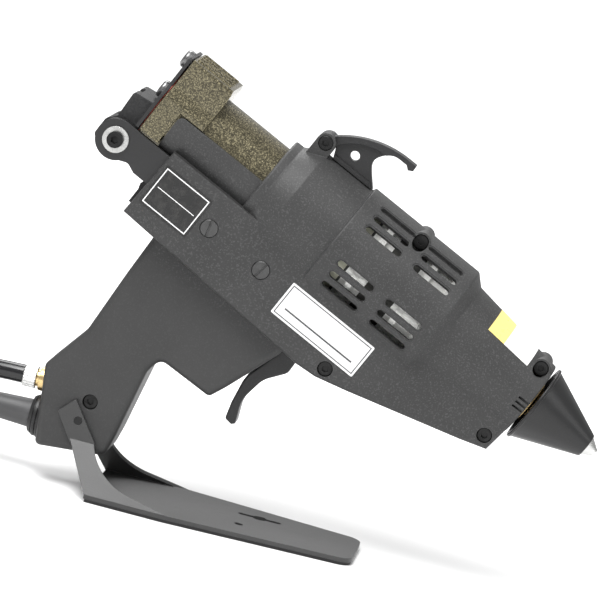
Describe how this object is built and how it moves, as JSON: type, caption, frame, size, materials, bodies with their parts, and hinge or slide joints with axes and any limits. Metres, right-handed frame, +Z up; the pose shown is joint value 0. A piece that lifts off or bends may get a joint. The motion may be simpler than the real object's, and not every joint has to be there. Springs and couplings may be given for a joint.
{
  "type": "glue gun",
  "caption": "Industrial pneumatic hot-melt glue gun with a rear loading tube, vented barrel cover, long trigger and a bent steel bench stand.",
  "frame": {"origin": "on the bench, under the middle of the gun's and stand's bounding box, without the cord pieces", "axes": "+X towards the nozzle along the bench, +Z up, +Y to the user's left; the barrel points 25 degrees below +X"},
  "size_m": [0.5775, 0.1129, 0.2618],
  "materials": {
    "casing": "black glass-filled plastic, fine spark texture",
    "black_hardware": "black oxide",
    "dark_steel": "dark phosphate",
    "bright_steel": "bright turned steel",
    "bracket": "black powder coat",
    "cast_iron": "rough black casting",
    "bronze_paint": "antique bronze hammered finish",
    "seal": "red silicone",
    "chamber_alloy": "pale olive coated aluminium",
    "heater_steel": "satin",
    "insulator": "cream insulating moulding",
    "nozzle_brass": "turned brass",
    "cone_plastic": "satin black heat-resistant plastic",
    "hook_plastic": "satin black plastic",
    "trigger_plastic": "satin black plastic",
    "valve_metal": "anodised",
    "pipe": "blue nylon tube",
    "board": "green lacquer",
    "terminal_plastic": "black",
    "white_label": "white film with plain rules",
    "black_label": "black film with plain white marks",
    "stand_steel": "graphite satin powder coat",
    "pad_rubber": "black",
    "gland_plastic": "black nylon",
    "boot_rubber": "dark grey rubber",
    "mains_sheath": "black rubber sheath",
    "strap": "black hook-and-loop strap",
    "plug_plastic": "black",
    "brass": "turned brass",
    "ferrule": "knurled nickel plate",
    "hose_rubber": "glossy black hose"
  },
  "bodies": {
    "gun": {"casing_right": "casing", "casing_left": "casing", "casing_screws": "black_hardware", "pivot_bolt": "black_hardware", "stand_nuts": "black_hardware", "stand_studs": "black_hardware", "frame_screws": "dark_steel", "pivot_nut": "dark_steel", "pivot_washers": "bright_steel", "trigger_pin": "bright_steel", "valve_spring": "bright_steel", "nozzle_tip": "bright_steel", "chassis_bracket": "bracket", "loading_tube": "bronze_paint", "tube_saddle": "bronze_paint", "melt_chamber": "chamber_alloy", "heater_cartridges": "heater_steel", "thermostat": "heater_steel", "rear_insulator": "insulator", "front_insulator": "insulator", "nozzle_body": "nozzle_brass", "nozzle_cone": "cone_plastic", "suspension_hook": "hook_plastic", "valve_body": "valve_metal", "supply_pipe": "pipe", "feed_pipe": "pipe", "control_board": "board", "terminal_block": "terminal_plastic", "switch_bezel": "terminal_plastic", "name_label": "white_label", "rating_label": "black_label", "bench_stand": "stand_steel", "stand_pad": "pad_rubber", "cable_gland": "gland_plastic", "gland_nut": "gland_plastic", "cable_boot": "boot_rubber", "mains_lead": "mains_sheath", "mains_coil": "mains_sheath", "lead_tie": "strap", "hose_tie": "strap", "mains_plug": "plug_plastic", "plug_pins": "brass", "air_fitting": "brass", "hose_nipple": "brass", "air_ferrule": "ferrule", "hose_ferrule": "ferrule", "air_hose": "hose_rubber", "hose_coil": "hose_rubber", "hose_end": "hose_rubber"},
    "trigger": {"trigger": "trigger_plastic"},
    "valve_stem": {"valve_plunger": "valve_metal"},
    "rocker": {"power_switch": "terminal_plastic"},
    "door": {"breech_door": "cast_iron", "door_plate": "bracket", "door_seal": "seal", "door_screws": "bright_steel"}
  },
  "joints": [
    {"name": "trigger_pull", "type": "hinge", "parent": "gun", "child": "trigger", "pos_m": [-0.01386, 0, 0.11434], "axis": [0, 1, 0], "range_deg": [0, 8], "stiffness_Nm_per_rad": 3, "springref_deg": -5.73},
    {"name": "valve_stroke", "type": "slide", "parent": "gun", "child": "valve_stem", "axis": [-0.9063, 0, 0.4226], "range_m": [0, 0.0045], "deforming": ["valve_spring"]},
    {"name": "switch_rock", "type": "hinge", "parent": "gun", "child": "rocker", "pos_m": [-0.12045, 0, 0.17563], "axis": [0, 1, 0], "range_deg": [0, 16]},
    {"name": "door_swing", "type": "hinge", "parent": "gun", "child": "door", "pos_m": [-0.14094, 0, 0.20526], "axis": [0, -1, 0], "range_deg": [0, 95]}
  ],
  "couplings": [
    {"joint": "valve_stroke", "follows": "trigger_pull", "m_per_rad": 0.031}
  ]
}
